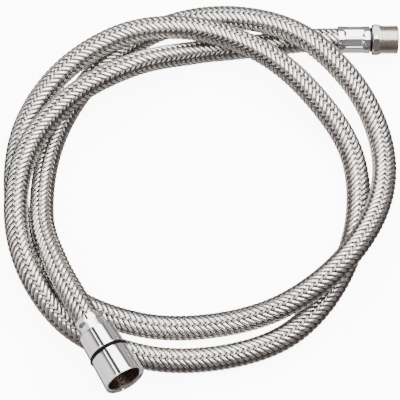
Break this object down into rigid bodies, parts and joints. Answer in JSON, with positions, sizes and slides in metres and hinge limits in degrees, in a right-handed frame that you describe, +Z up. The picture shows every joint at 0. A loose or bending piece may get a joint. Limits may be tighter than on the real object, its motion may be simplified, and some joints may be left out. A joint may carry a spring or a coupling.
{
  "type": "braided sprayer hose",
  "caption": "Flexible steel-braided water hose lying in loose turns, with a hexagon male fitting at one end and a turning cone nut at the other.",
  "frame": {"origin": "On the floor, under the middle of the box round the two end fittings (the hose itself left out).", "axes": "+X out of the male thread of the supply fitting, +Z up, +Y across the turns towards the supply fitting's side."},
  "size_m": [0.2259, 0.2422, 0.0445],
  "materials": {
    "braid": "bright wire braid",
    "liner": "matte",
    "ferrule": "polished",
    "nipple": "nickel plated",
    "tail": "machined",
    "washer": "matte",
    "bush": "moulded",
    "nut": "mirror",
    "ring": "smooth"
  },
  "bodies": {
    "hose": {"braided_sleeve": "braid", "inner_tube": "liner", "supply_ferrule": "ferrule", "supply_nipple": "nipple", "spray_ferrule": "ferrule", "spray_tail": "tail", "sealing_washer": "washer"},
    "bush": {"slip_bush": "bush"},
    "nut": {"cone_nut": "nut", "grip_ring": "ring"}
  },
  "joints": [
    {"name": "nut_spin", "type": "hinge", "parent": "hose", "child": "bush", "pos_m": [-0.084, -0.074, 0.0288], "axis": [0.4937, -0.864, 0.0987], "continuous": true},
    {"name": "nut_slide", "type": "slide", "parent": "bush", "child": "nut", "axis": [-0.4937, 0.864, -0.0987], "range_m": [0, 0.008]}
  ]
}
